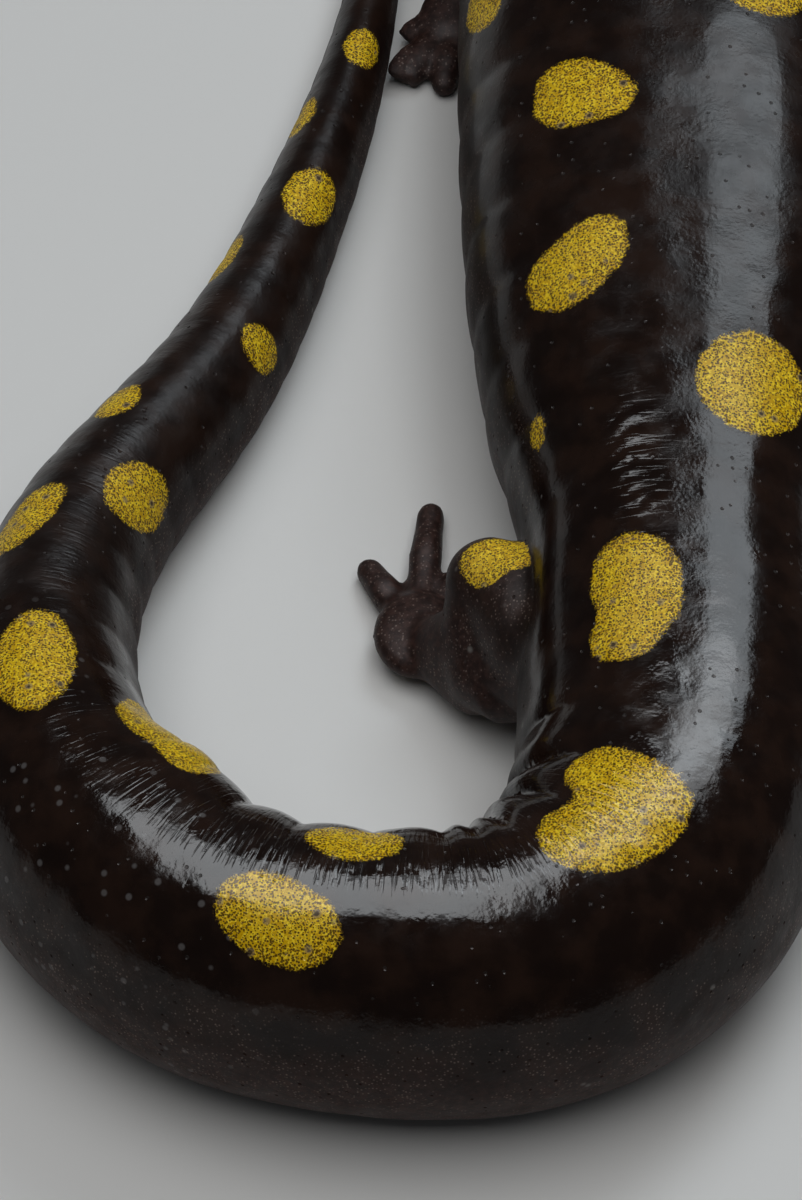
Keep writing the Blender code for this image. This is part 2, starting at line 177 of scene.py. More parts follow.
JOIN_CREASE, JOIN_CREASE_AT, JOIN_CREASE_TURN_FROM = 0.5, (108.9, 0.6), (15, 45)
BULGE, BULGE_AT, BULGE_TURN_AT = 1.0, (127.0, 4.2), (57.0, 32.0)
BEND_CREASE, BEND_CREASE_AT, BEND_CREASE_TURN_AT = 0.16, (128.3, 0.35), (62, 28)
FURROW, FURROW_FROM, FURROW_TO, FURROW_AROUND_AT = 0.06, (30, 10), (101, 8), (-0.2, 1.2)

HIP_AT, HIP_AROUND_AT = (83.4, 3.6), (2.0, 1.3)  # the wrinkled patch over the left hip
WRINKLE_HEIGHT, WRINKLE_STEP = 0.026, 0.85

FOLD_WIDTH = 0.6
THROAT_FOLD, THROAT_PLACE, THROAT_TURN_FROM = 0.24, 19.6, (70, 45)
NECK_FOLD, NECK_PLACE, NECK_TURN_FROM = 0.12, 25.0, (60, 40)
NECK_HOLLOW, NECK_HOLLOW_AT = 0.14, (20.6, 1.6)

# How crowded the skin is on the inside of a bend, and how much of it is lined elsewhere.
CROWDED_FROM, CROWDED_TO = (99, 7), (121, 7)
INWARD_FROM, INWARD_TO = (-0.9, 1.1), (1.5, 1.2)  # round the body from its back
LINED_ALL_OVER, LINED_HIP = 0.015, 0.22
BELLY_TURN_FROM, LIMB_AS_BELLY = (45, 65), 0.55

ANYWHERE, NO_LIMIT = (0, math.inf), -math.inf
HEAD_SHAPES = (  # height; middle and reach from the snout, out, and in level; least out and level
    (0.38, (13.6, 2.6), (6.6, 1.7), (7.4, 1.6), NO_LIMIT, NO_LIMIT),  # gland behind the eye
    (0.22, (11.5, 2.4), (7.8, 1.6), (4.6, 1.3), NO_LIMIT, NO_LIMIT),  # cheek
    (-0.24, (11.6, 2.6), ANYWHERE, (6.1, 0.42), 4, NO_LIMIT),  # groove between them
    (-0.22, (8.0, 2.6), (0, 1.5), ANYWHERE, NO_LIMIT, 6),  # dip between the eyes
    (0.16, (2.6, 1.3), (2.1, 0.9), ANYWHERE, NO_LIMIT, 5),  # ridges of the snout
)
HEAD_TO = (19, 3)
MOUTH_LEVEL, MOUTH_TO = 3.35, (12.3, 0.9)
MOUTH_DIP, MOUTH_DIP_AT, MOUTH_RISE, MOUTH_RISE_FROM = 0.35, (5.5, 2.6), 0.75, (8.0, 4.2)
LIP, LIP_ABOVE_AT, MOUTH_DEPTH, MOUTH_WIDTH = 0.13, (0.42, 0.34), 0.42, 0.13
JAW_STEP, JAW_BELOW_FROM, JAW_BELOW_TO = 0.16, (-2.0, 1.6), (0, 0.2)
NOSTRIL_OUT, NOSTRIL_LEVEL, NOSTRIL_TO = 2.35, 5.75, (2.5, 0.6)
NOSTRIL_RIM, NOSTRIL_RIM_AT, NOSTRIL_DEPTH, NOSTRIL_WIDTH = 0.10, (0.42, 0.2), 0.34, 0.24

LID_REACH = math.radians(52), math.radians(47)
LID_INNER, LID_RIM = 1.46, 1.83
# The turn away from the eye's middle, where 1 is the rim, before and after crowding.
LID_CROWDING = (0, 0.55, 0.8, 1.0, 1.2, 1.5, 9), (0, 0.7, 0.955, 1.0, 1.045, 1.5, 9)
# How far the skin lies from the eye's middle, by that crowded turn.
LID_PROFILE = (0, 0.94, 0.985, 1.02, 1.12), (LID_INNER, LID_INNER, 1.6, LID_RIM - 0.02, LID_RIM)
LID_SINK, LID_SINK_FROM, LID_SHARE_FROM = 0.25, (1.25, 0.6), (1.02, 0.2)
LID_FOLD, LID_FOLD_AT = 0.14, (1.42, 0.1)
LID_SKIN_TO, LID_SKIN_TURN = (3.3, 0.7), 1.9  # distance from the eye's middle, and radians

# ---------------- how finely things are made
MERGE_WITHIN = 0.001
BODY_RINGS, BODY_SIDES = 520, 72
END_CROWDING = 0.012  # how much the body's rings crowd towards its ends
BONE_RINGS, BONE_SIDES = 22, 24
TOE_RINGS, TOE_SIDES = 16, 12
PALM_SEGMENTS, PALM_RINGS = 24, 14
BALL_SEGMENTS, EYE_SEGMENTS = 32, 64
FINE_SKIN = 0.2  # side of the skin's small squares
SKIN_TRIANGLES = 192_000
SMOOTH_ALL, SMOOTH_LIMBS, SMOOTH_JOINS, SMOOTH_SNOUT = 2, 10, 12, 6  # passes
LIMB_TRACE, SNOUT_TIP = 0.02, 5.0
FINE_HEAD_ENDS, FINE_HEAD_LEVEL, FINE_LIDS_REACH = 12.8, 0.6, 2.5

# A point's place on the body is worked out in batches and in rounds, with these least sizes, and
# how much of it is limb from how far it is outside the nearest one.
POINTS_AT_ONCE, SPINE_ROUNDS = 4000, 4
THINNEST_REACH, BEYOND_SKIN, TIGHTEST_BEND = 0.5, 0.8, 0.4
END_MARGIN, THINNEST, LEAST_SIZE = 0.3, 0.2, 0.05
LIMB_EARLY, LIMB_FADE = 0.5, 1.4
FAR_OFF, PAST_TOES, FOOT_SHARE = 99.0, 1, 0.25
SNOUT_FREE, END_FADE, ORBIT_MARGIN, ORBIT_FADE = 3, 3, 0.2, 1.6


# ---------------- the spine and the outline
def smoothstep(t):
    t = np.clip(t, 0, 1)
    return t * t * (3 - 2 * t)


def near(value, middle, width):
    """1 at the middle, falling away smoothly over about the width on both sides."""
    return np.exp(-(((value - middle) / width) ** 2))


def rising(value, start, length):
    """0 up to the start, and rising smoothly to 1 over the length."""
    return smoothstep((value - start) / length)


def falling(value, end, length):
    """Falling smoothly from 1 over the length, to 0 at the end and beyond."""
    return smoothstep((end - value) / length)


def trace_spine():
    run = np.arange(0, TAIL_TIP + SPINE_STEP, SPINE_STEP)
    heading = np.full(len(run), math.radians(SNOUT_HEADING))
    start = 0.0
    for length, turn in STRETCHES:
        heading += math.radians(turn) * smoothstep((run - start + BEND_BLEND) / (length + 2 * BEND_BLEND))
        start += length
    x = np.cumsum(np.cos(heading)) * SPINE_STEP
    y = np.cumsum(np.sin(heading)) * SPINE_STEP
    x += VENT_AT[0] - np.interp(VENT, run, x)
    y += VENT_AT[1] - np.interp(VENT, run, y)
    return run, x, y, heading


RUN, SPINE_X, SPINE_Y, HEADING = trace_spine()
CURVATURE = np.gradient(HEADING, RUN)


def smooth_curve(stations, values, where):
    """The smooth curve through the values that never overshoots them, at many places at once."""
    x, y = np.array(stations, float), np.array(values, float)
    slope = np.diff(y) / np.diff(x)
    product = slope[:-1] * slope[1:]
    total = np.where(product > 0, slope[:-1] + slope[1:], 1)
    lean = np.concatenate([[slope[0]], np.where(product > 0, 2 * product / total, 0), [slope[-1]]])
    where = np.clip(where, x[0], x[-1])
    i = np.minimum(np.searchsorted(x, where, "right") - 1, len(x) - 2)
    wide = x[i + 1] - x[i]
    t = (where - x[i]) / wide
    start, end = t * (1 - t) ** 2, t * t * (t - 1)
    return y[i] + (y[i + 1] - y[i]) * t * t * (3 - 2 * t) + wide * (start * lean[i] + end * lean[i + 1])


def round_off(from_end, length):
    return np.sqrt(1 - (1 - np.clip(from_end / length, 0, 1)) ** 2)


def outline_at(distance):
    """Half width, underside, middle level, back and squareness of the body at a distance."""
    distance = np.asarray(distance, float)
    stations = [row[0] for row in OUTLINE]
    half, low, high, square = (
        smooth_curve(stations, [row[column] for row in OUTLINE], distance) for column in (1, 2, 3, 4)
    )
    close = round_off(distance, SNOUT_ROUND) * round_off(TAIL_TIP - distance, TAIL_ROUND)
    end_level = np.where(distance < VENT, SNOUT_LEVEL, TAIL_LEVEL)
    low = end_level + (low - end_level) * close
    high = end_level + (high - end_level) * close
    return half * close, low, low + (high - low) * GIRTH_LEVEL, high, square


def bend(out, distance, level):
    """Points of the straight body, carried onto the bent spine. Takes and gives arrays."""
    heading = np.interp(distance, RUN, HEADING)
    x = np.interp(distance, RUN, SPINE_X) + np.sin(heading) * out
    y = np.interp(distance, RUN, SPINE_Y) - np.cos(heading) * out
    return np.stack(np.broadcast_arrays(x, y, level), -1)


def unbend(points):
    """The other way: side, distance from the snout and level of points near the body."""
    half = outline_at(RUN)[0]
    reach = (np.maximum(half, THINNEST_REACH) + BEYOND_SKIN) ** 2
    along = np.empty(len(points))
    for first in range(0, len(points), POINTS_AT_ONCE):
        part = slice(first, first + POINTS_AT_ONCE)
        dx = points[part, 0, None] - SPINE_X
        dy = points[part, 1, None] - SPINE_Y
        along[part] = RUN[((dx * dx + dy * dy) / reach).argmin(1)]
    for _ in range(SPINE_ROUNDS):
        heading = np.interp(along, RUN, HEADING)
        dx = points[:, 0] - np.interp(along, RUN, SPINE_X)
        dy = points[:, 1] - np.interp(along, RUN, SPINE_Y)
        side = dx * np.sin(heading) - dy * np.cos(heading)
        ahead = dx * np.cos(heading) + dy * np.sin(heading)
        beyond = (along <= 0) | (along >= TAIL_TIP)
        ahead /= np.maximum(1 + side * np.interp(along, RUN, CURVATURE), TIGHTEST_BEND)
        along = np.where(beyond, along, np.clip(along + ahead, 0, TAIL_TIP))
    beyond = (along <= 0) | (along >= TAIL_TIP)
    return side, along + np.where(beyond, ahead, 0), points[:, 2]


def ways_at(distance):
    """The ways towards the tail and to the animal's left, at a distance from the snout."""
    heading = np.interp(distance, RUN, HEADING)
    back = Vector((math.cos(heading), math.sin(heading), 0))
    return back, Vector((back.y, -back.x, 0))


# ---------------- shapes that the skin grows over
def rolled(along, around, place):
    """A grid rolled into a closed tube. place(u, v) takes arrays and gives the points."""
    mesh = bmesh.new()
    bmesh.ops.create_grid(mesh, x_segments=along, y_segments=around, size=0.5)
    flat = np.array([vert.co for vert in mesh.verts]) + 0.5
    for vert, point in zip(mesh.verts, place(flat[:, 0], flat[:, 1])):
        vert.co = point
    bmesh.ops.remove_doubles(mesh, verts=mesh.verts, dist=MERGE_WITHIN)
    bmesh.ops.holes_fill(mesh, edges=mesh.edges, sides=0)
    bmesh.ops.recalc_face_normals(mesh, faces=mesh.faces)
    return mesh


def body_tube():
    def place(u, v):
        distance = TAIL_TIP * (u - END_CROWDING * np.sin(2 * math.pi * u))
        half, low, middle, high, square = outline_at(distance)
        out, up = np.cos(v * 2 * math.pi), np.sin(v * 2 * math.pi)
        power = 2 / square
        level = middle + np.abs(up) ** power * np.where(up > 0, high - middle, low - middle)
        return bend(np.sign(out) * np.abs(out) ** power * half, distance, level)

    return rolled(BODY_RINGS, BODY_SIDES, place)


def joint_points(limb):
    _, side, joints, _, _ = limb
    return [Vector(bend(side * out, distance, level)) for out, distance, level in joints]


def tube(path, radii, sides):
    """A round tube along a nearly straight path, closed where its radius is nothing."""
    path, radii = np.array(path), np.array(radii)
    way = Vector(path[-1] - path[0]).normalized()
    side = np.array(way.orthogonal().normalized())
    other = np.cross(np.array(way), side)
    last = len(path) - 1

    def place(u, v):
        i = np.rint(u * last).astype(int)
        angle = v[:, None] * 2 * math.pi
        return path[i] + (side * np.cos(angle) + other * np.sin(angle)) * radii[i, None]

    return rolled(last, sides, place)


def crowded_ends(rings):
    """Shares from 0 to 1 that crowd towards both ends, one for each ring and one more."""
    return 0.5 - 0.5 * np.cos(np.linspace(0, math.pi, rings + 1))


def bone(start, end, radii):
    length = (end - start).length
    at = -radii[0] + (length + radii[0] + radii[-1]) * crowded_ends(BONE_RINGS)
    girth = smooth_curve((0, 0.5, 1), radii, at / length)
    girth *= round_off(at + radii[0], radii[0]) * round_off(length + radii[-1] - at, radii[-1])
    path = np.array(start) + np.array(end - start) * (at / length)[:, None]
    return tube(path, girth, BONE_SIDES)


def foot_way(side, distance, outward):
    back, left = ways_at(distance)
    angle = math.radians(outward)
    return left * (side * math.sin(angle)) - back * math.cos(angle)


def toe(palm, way, reach):
    """A tapering toe with a faint knuckle and a round tip."""
    share = crowded_ends(TOE_RINGS)
    lift = KNUCKLE_LIFT * near(share, KNUCKLE_AT, KNUCKLE_LIFT_REACH)
    level = TOE_RISE + (TOE_DROP - TOE_RISE) * share + lift
    path = np.stack([palm.x + way.x * reach * share, palm.y + way.y * reach * share, level], -1)
    swell = KNUCKLE_SWELL * near(share, KNUCKLE_AT, KNUCKLE_SWELL_REACH)
    radii = TOE_THICK + (TOE_THIN - TOE_THICK) * share + swell
    radii *= round_off(reach * (1 - share), TOE_THIN) * round_off(reach * share, TOE_THICK)
    return tube(path, radii, TOE_SIDES)


def palm_pad(palm, way, size):
    pad = ball((0, 0, 0), 1, PALM_SEGMENTS, PALM_RINGS)
    across = Vector((way.y, -way.x, 0))
    for vert in pad.verts:
        long, wide, high = (vert.co[axis] * size[axis] for axis in range(3))
        vert.co = palm + way * long + across * wide + Vector((0, 0, high))
    bmesh.ops.recalc_face_normals(pad, faces=pad.faces)
    return pad


def ball(centre, radius, segments=BALL_SEGMENTS, rings=BALL_SEGMENTS // 2):
    mesh = bmesh.new()
    bmesh.ops.create_uvsphere(mesh, u_segments=segments, v_segments=rings, radius=radius)
    bmesh.ops.translate(mesh, vec=centre, verts=mesh.verts)
    return mesh


def limb_shapes(limb):
    kind, side, joints, palm_turn, toes = limb
    root, knee, ankle, palm = joint_points(limb)
    at, ankle_radius = joints[-1][1], LOWER_RADII[kind][-1]
    return [
        bone(root, knee, UPPER_RADII[kind]),
        bone(knee, ankle, LOWER_RADII[kind]),
        bone(ankle, palm, (ankle_radius, ankle_radius * WRIST_SHARE, WRIST_END)),
        palm_pad(palm, foot_way(side, at, palm_turn), PALM[kind]),
        *(toe(palm, foot_way(side, at, outward), reach) for outward, reach in toes),
    ]


def eye_place(side):
    """Middle of the orbit, middle of the eyeball, and the way the eye looks."""
    back, left = ways_at(EYE_FROM_SNOUT)
    orbit = Vector(bend(side * ORBIT_OUT, EYE_FROM_SNOUT, ORBIT_LEVEL))
    out, towards_tail, up = EYE_LOOK
    look = (left * (side * out) + back * towards_tail + Vector((0, 0, up))).normalized()
    return orbit, orbit + look * EYE_PROUD, look


# ---------------- the skin's surface
def grown_over(shapes):
    """One closed surface of small squares over shapes that overlap."""
    whole = bmesh.new()
    for shape in shapes:
        part = bpy.data.meshes.new("part")
        shape.to_mesh(part)
        shape.free()
        whole.from_mesh(part)
        bpy.data.meshes.remove(part)
    holder = as_object("whole", whole)
    step = holder.modifiers.new("grow", "REMESH")
    step.mode = "VOXEL"
    step.voxel_size = FINE_SKIN
    step.adaptivity = 0
    return taken_back(holder)


def as_object(name, mesh):
    data = bpy.data.meshes.new(name)
    mesh.to_mesh(data)
    mesh.free()
    made = bpy.data.objects.new(name, data)
    bpy.context.scene.collection.objects.link(made)
    return made


def taken_back(holder):
    """The object's mesh with its modifiers applied, and the object removed."""
    mesh = bmesh.new()
    mesh.from_object(holder, bpy.context.evaluated_depsgraph_get())
    data = holder.data
    bpy.data.objects.remove(holder)
    bpy.data.meshes.remove(data)
    return mesh


def points_of(mesh):
    return np.array([vert.co for vert in mesh.verts])


def normals_of(mesh):
    mesh.normal_update()
    return np.array([vert.normal for vert in mesh.verts])


def move_to(mesh, points):
    for vert, point in zip(mesh.verts, points):
        vert.co = point


def smooth(mesh, chosen, times):
    verts = [vert for vert, take in zip(mesh.verts, chosen) if take]
    for _ in range(times):
        bmesh.ops.smooth_vert(mesh, verts=verts, factor=0.5, use_axis_x=True, use_axis_y=True,
                              use_axis_z=True)


def split_finer(mesh, chosen):
    """Cuts every small square whose corners are all chosen into four."""
    picked = set(np.nonzero(chosen)[0])
    mesh.verts.index_update()
    edges = [edge for edge in mesh.edges if all(vert.index in picked for vert in edge.verts)]
    bmesh.ops.subdivide_edges(mesh, edges=edges, cuts=1, use_grid_fill=True)


def wander(points, size, seed):
    """Smooth chance values from -1 to 1 that change over about that size."""
    moved = points / size + np.array(SEED_SHIFT) * seed
    return np.array([noise.noise(point) for point in moved])


class BodyMap:
    """Where each point of the skin lies on the body."""

    def __init__(self, points):
        self.points = points
        self.side, self.along, self.level = unbend(points)
        within = np.clip(self.along, END_MARGIN, TAIL_TIP - END_MARGIN)
        half, low, middle, high, square = outline_at(within)
        half = np.maximum(half, THINNEST)
        rise = np.where(self.level > middle, high - middle, middle - low)
        across, up = self.side / half, (self.level - middle) / np.maximum(rise, THINNEST)
        self.size = (np.abs(across) ** square + np.abs(up) ** square) ** (1 / square)
        self.girth = (half + (high - low) / 2) / 2
        self.angle = np.arctan2(across, up)  # from the middle of the back, plus to the left
        self.degrees = np.degrees(self.angle)
        self.around = self.angle * self.girth
        self.middle = middle
        off_body = (self.size - 1) * self.girth
        self.limb = smoothstep((off_body - self.off_limbs() + LIMB_EARLY) / LIMB_FADE)
        self.curl = np.interp(self.along, RUN, -CURVATURE)  # plus where it turns to the left

    def off_limbs(self):
        """How far each point is outside the nearest limb."""
        off = np.full(len(self.points), FAR_OFF)
        for limb in LIMBS:
            kind = limb[0]
            joints = [np.array(joint) for joint in joint_points(limb)]
            upper, lower = UPPER_RADII[kind], LOWER_RADII[kind]
            girths = ((upper[0], upper[2]), (lower[0], lower[2]), (lower[2], lower[2]))
            for start, end, (first, last) in zip(joints, joints[1:], girths):
                way = end - start
                share = np.clip((self.points - start) @ way / (way @ way), 0, 1)
                gap = np.linalg.norm(self.points - start - share[:, None] * way, axis=1)
                off = np.minimum(off, gap - first - (last - first) * share)
            reach = max(length for _, length in limb[4]) + PAST_TOES
            gap = np.linalg.norm(self.points - joints[-1], axis=1)
            off = np.where(gap < reach, np.minimum(off, gap * FOOT_SHARE), off)
        return off


def on_outline(body):
    """The points, moved onto the body's exact outline where no limb or orbit is near."""
    off_snout = rising(body.along, SNOUT_FREE, END_FADE)
    off_tip = falling(body.along, TAIL_TIP - TAIL_ROUND, END_FADE)
    keep = (1 - body.limb) * off_snout * off_tip
    for side in (1, -1):
        orbit = np.array(eye_place(side)[0])
        off_orbit = np.linalg.norm(body.points - orbit, axis=1) - ORBIT_RADIUS - ORBIT_MARGIN
        keep *= smoothstep(off_orbit / ORBIT_FADE)
    scale = 1 / np.maximum(body.size, LEAST_SIZE)
    exact = bend(body.side * scale, body.along, body.middle + (body.level - body.middle) * scale)
    return body.points + (exact - body.points) * keep[:, None]


def ring_step(distance):
    """From one ring of the tail to the next: the same on its root, and less towards its tip."""
    return RING_STEP * (RING_STEP_LEAST + RING_STEP_MORE * falling(distance, *RING_STEP_TO))


TAIL_RINGS = np.cumsum(SPINE_STEP / ring_step(RUN))


def hip_patch(body):
    """Up to 1 on the patch of slanting wrinkles over the left hip."""
    return near(body.along, *HIP_AT) * near(body.around, *HIP_AROUND_AT)


def flank_grooves(body, slow):
    """The grooves of the flank between the limbs."""
    spacing = (GROOVE_LAST - GROOVE_FIRST) / (GROOVES - 1)
    phase = (body.along - GROOVE_FIRST) / spacing + RING_WANDER * slow
    valley = np.abs(phase - np.rint(phase)) * spacing
    within = rising(body.along - GROOVE_FIRST, -GROOVE_FADE, GROOVE_FADE)
    within *= falling(body.along, GROOVE_LAST + GROOVE_FADE, GROOVE_FADE)
    degrees = np.abs(body.degrees)
    flank = rising(degrees, *FLANK_TURN_FROM) * falling(degrees, *FLANK_TURN_TO)
    narrow, wide = (GROOVE_DEPTH * near(valley, 0, width) for width in GROOVE_WIDTHS)
    return within * flank * (GROOVE_SWELL - narrow - wide)


def tail_folds(body, slow):
    """The rings of the tail: tight and deep inside the curl, drawn out on its outer side."""
    phase = np.interp(body.along, RUN, TAIL_RINGS) + RING_WANDER * slow
    inside = np.clip(body.curl * 12, -0.8, 1.3) * np.sin(body.angle)
    inside *= 0.06 + 0.94 * falling(body.along, *RING_DEEP_TO)
    degrees = np.abs(body.degrees)
    sides = rising(degrees, *RING_TURN_FROM) * falling(degrees, *RING_TURN_TO)
    shallow = RING_SHALLOW * near(body.along, *RING_SHALLOW_AT)
    depth = np.clip(RING_DEPTH - shallow + RING_DEEPER_INSIDE * inside, RING_LEAST, RING_MOST)
    depth = depth * sides * np.minimum(1, body.girth / 4.5)
    rings = 1.5 * np.abs(np.sin(math.pi * phase)) ** 0.7 - 1
    return rising(body.along - VENT, -1, 8) * depth * rings


def bend_creases(body):
    """The crease where the curl begins, the bunched skin of the bend, and the crease in it."""
    join = JOIN_CREASE * near(body.along, *JOIN_CREASE_AT)
    join = join * rising(body.degrees, *JOIN_CREASE_TURN_FROM)
    bulge = BULGE * near(body.along, *BULGE_AT) * near(body.degrees, *BULGE_TURN_AT)
    crease = BEND_CREASE * near(body.along, *BEND_CREASE_AT)
    return -join, bulge, -crease * near(body.degrees, *BEND_CREASE_TURN_AT)


def back_furrow(body):
    """A shallow groove along the middle of the back, from the shoulders to the hips."""
    furrow = rising(body.along, *FURROW_FROM) * falling(body.along, *FURROW_TO) * FURROW
    return -furrow * near(body.around, *FURROW_AROUND_AT)


def hip_wrinkles(body, slow, quick):
    """A patch of slanting wrinkles over the left hip."""
    patch = hip_patch(body) * (1 + 0.5 * quick)
    across = body.along - 0.6 * body.around + 0.9 * slow + 0.3 * quick
    return WRINKLE_HEIGHT * patch * np.sin(2 * math.pi * across / WRINKLE_STEP)


def neck_folds(body, slow):
    """The loose skin of the throat and the neck."""
    degrees = np.abs(body.degrees)
    throat = THROAT_FOLD * near(body.along, THROAT_PLACE + 0.6 * slow, FOLD_WIDTH)
    hollow = NECK_HOLLOW * near(body.along, *NECK_HOLLOW_AT)
    neck = NECK_FOLD * near(body.along, NECK_PLACE + 0.5 * slow, FOLD_WIDTH)
    throat, neck = throat * rising(degrees, *THROAT_TURN_FROM), neck * rising(degrees, *NECK_TURN_FROM)
    return -throat, -hollow, -neck


def relief(body):
    """How far the skin stands out from the plain shape: folds, rings, grooves and lumps."""
    slow = wander(body.points, SLOW_LUMPS, 1)
    quick = wander(body.points, QUICK_LUMPS, 2)
    lift = SLOW_LIFT * slow * np.minimum(1, body.girth / 4) + QUICK_LIFT * quick
    folds = sum((
        flank_grooves(body, slow), tail_folds(body, slow), *bend_creases(body), back_furrow(body),
        hip_wrinkles(body, slow, quick), *neck_folds(body, slow),
    ))
    return lift + folds * (1 - body.limb)


def head_relief(body):
    """The lips, cheeks, nostrils and glands of the head."""
    along, out, level = body.along, np.abs(body.side), body.level
    lift = 0
    for height, at_along, at_out, at_level, least_out, least_level in HEAD_SHAPES:
        shape = height * near(along, *at_along) * near(out, *at_out) * near(level, *at_level)
        lift = lift + shape * ((out > least_out) & (level > least_level))
    # The line of the mouth rises at its corner; the upper lip overhangs it.
    line = MOUTH_LEVEL - MOUTH_DIP * near(along, *MOUTH_DIP_AT)
    gap = level - (line + MOUTH_RISE * rising(along, *MOUTH_RISE_FROM))
    mouth = falling(along, *MOUTH_TO)
    lift += mouth * (LIP * near(gap, *LIP_ABOVE_AT) - MOUTH_DEPTH * near(gap, 0, MOUTH_WIDTH))
    lift -= mouth * JAW_STEP * falling(gap, *JAW_BELOW_TO) * rising(gap, *JAW_BELOW_FROM)
    # Nostrils.
    gap = np.hypot(out - NOSTRIL_OUT, level - NOSTRIL_LEVEL)
    rim, hole = NOSTRIL_RIM * near(gap, *NOSTRIL_RIM_AT), NOSTRIL_DEPTH * near(gap, 0, NOSTRIL_WIDTH)
    lift += falling(along, *NOSTRIL_TO) * (rim - hole)
    return lift * falling(along, *HEAD_TO)


def shape_lids(points, side):
    """Presses the skin in behind the eyeball and leaves a neat rim round it."""
    _, centre, look = eye_place(side)
    fore_aft, _ = ways_at(EYE_FROM_SNOUT)
    fore_aft = np.array((fore_aft - look * fore_aft.dot(look)).normalized())
    look = np.array(look)
    upward = np.cross(fore_aft, look)
    away = points - np.array(centre)
    radius = np.linalg.norm(away, axis=1)
    way = away / radius[:, None]
    turn = np.arccos(np.clip(way @ look, -1, 1))
    x, y = way @ fore_aft, way @ upward
    flat = np.maximum(np.hypot(x, y), 1e-6)
    x, y = x / flat, y / flat
    rim_turn = 1 / np.hypot(x / LID_REACH[0], y / LID_REACH[1])
    reach = turn / rim_turn
    # Crowd the skin's squares towards the rim, so that its edge is crisp.
    crowded = np.interp(reach, *LID_CROWDING)
    profile = np.interp(crowded, *LID_PROFILE)
    outer = np.maximum(radius, LID_RIM - LID_SINK * rising(reach, *LID_SINK_FROM))
    outer -= LID_FOLD * near(reach, *LID_FOLD_AT)
    share = rising(reach, *LID_SHARE_FROM)
    new_radius = profile * (1 - share) + outer * share
    new_turn = crowded * rim_turn
    moved = look * np.cos(new_turn)[:, None]
    moved += (fore_aft * x[:, None] + upward * y[:, None]) * np.sin(new_turn)[:, None]
    moved = np.array(centre) + moved * new_radius[:, None]
    close = falling(radius, *LID_SKIN_TO) * (turn < LID_SKIN_TURN)
    return points + (moved - points) * close[:, None]


def thinned(mesh):
    """The mesh with its squares cut into triangles, and few enough of them."""
    bmesh.ops.triangulate(mesh, faces=mesh.faces)
    holder = as_object("fine", mesh)
    step = holder.modifiers.new("thin", "DECIMATE")
    step.ratio = min(1, SKIN_TRIANGLES / len(holder.data.polygons))
    step.use_collapse_triangulate = True
    return taken_back(holder)


def build_skin():
    shapes = [body_tube()]
    for side in (1, -1):
        orbit, centre, _ = eye_place(side)
        shapes += [ball(orbit, ORBIT_RADIUS), ball(centre, LID_RIM)]
    for limb in LIMBS:
        shapes += limb_shapes(limb)
    for start, end, radii in FLESH:
        shapes.append(bone(*(Vector(bend(*joint)) for joint in (start, end)), radii))
    mesh = grown_over(shapes)

    # Soften the steps of the small squares, most where a limb grows out of the body.
    smooth(mesh, np.ones(len(mesh.verts), bool), SMOOTH_ALL)
    body = BodyMap(points_of(mesh))
    on_limb = body.limb > LIMB_TRACE
    smooth(mesh, on_limb & (body.level > TOE_TOP), SMOOTH_LIMBS)
    smooth(mesh, on_limb & (body.limb < 1 - LIMB_TRACE), SMOOTH_JOINS)
    smooth(mesh, body.along < SNOUT_TIP, SMOOTH_SNOUT)
    move_to(mesh, on_outline(BodyMap(points_of(mesh))))

    # Finer squares for the mouth and the nostrils, and finer again for the lids.
    _, along, level = unbend(points_of(mesh))
    split_finer(mesh, (along < FINE_HEAD_ENDS) & (level > FINE_HEAD_LEVEL))
    points = points_of(mesh)
    gaps = [np.linalg.norm(points - np.array(eye_place(side)[1]), axis=1) for side in (1, -1)]
    split_finer(mesh, np.minimum(*gaps) < FINE_LIDS_REACH)

    body = BodyMap(points_of(mesh))
    points = body.points + normals_of(mesh) * (relief(body) + head_relief(body))[:, None]
    for side in (1, -1):
        points = shape_lids(points, side)
    points[:, 2] = np.maximum(points[:, 2], 0)
    move_to(mesh, points)
    return thinned(mesh)


# ---------------- what the skin is painted by
LIMB_SPOTS = (  # out, from the snout, level, radius
    (6.9, 84.2, 8.0, 1.45), (8.3, 84.9, 7.3, 1.4), (-10.0, 83.0, 8.8, 1.45), (-14.6, 87.0, 4.6, 0.9),
    (6.9, 35.2, 6.9, 1.15), (9.9, 42.2, 4.2, 0.75), (-9.3, 34.2, 7.3, 1.2), (-12.8, 32.4, 5.4, 0.8),
)
SPOT_MELT, SPOT_DEEPEST = 0.3, 3.0  # how softly spots melt together, and the most they count
OFF_THE_BODY, OFF_THE_LIMB, HARDLY_LIMB = 3, 2, 0.2  # how spots end where limb and body meet


def spot_field(body):
    """How far each point is inside the nearest spot, in millimetres."""
    total = np.zeros(len(body.points))
    for along, around, long, wide, tilt in SPOTS:
        ds, du = body.along - along, body.around - around
        cos, sin = math.cos(math.radians(tilt)), math.sin(math.radians(tilt))
        reach = np.hypot((ds * cos + du * sin) / long, (du * cos - ds * sin) / wide)
        inside = (1 - reach) * min(long, wide) - OFF_THE_BODY * body.limb
        total += np.exp(np.clip(inside, -SPOT_DEEPEST, SPOT_DEEPEST) / SPOT_MELT)
    for out, along, level, radius in LIMB_SPOTS:
        gap = np.linalg.norm(body.points - bend(out, along, level), axis=1)
        inside = radius - gap - OFF_THE_LIMB * (body.limb < HARDLY_LIMB)
        total += np.exp(np.clip(inside, -SPOT_DEEPEST, SPOT_DEEPEST) / SPOT_MELT)
    return SPOT_MELT * np.log(total)


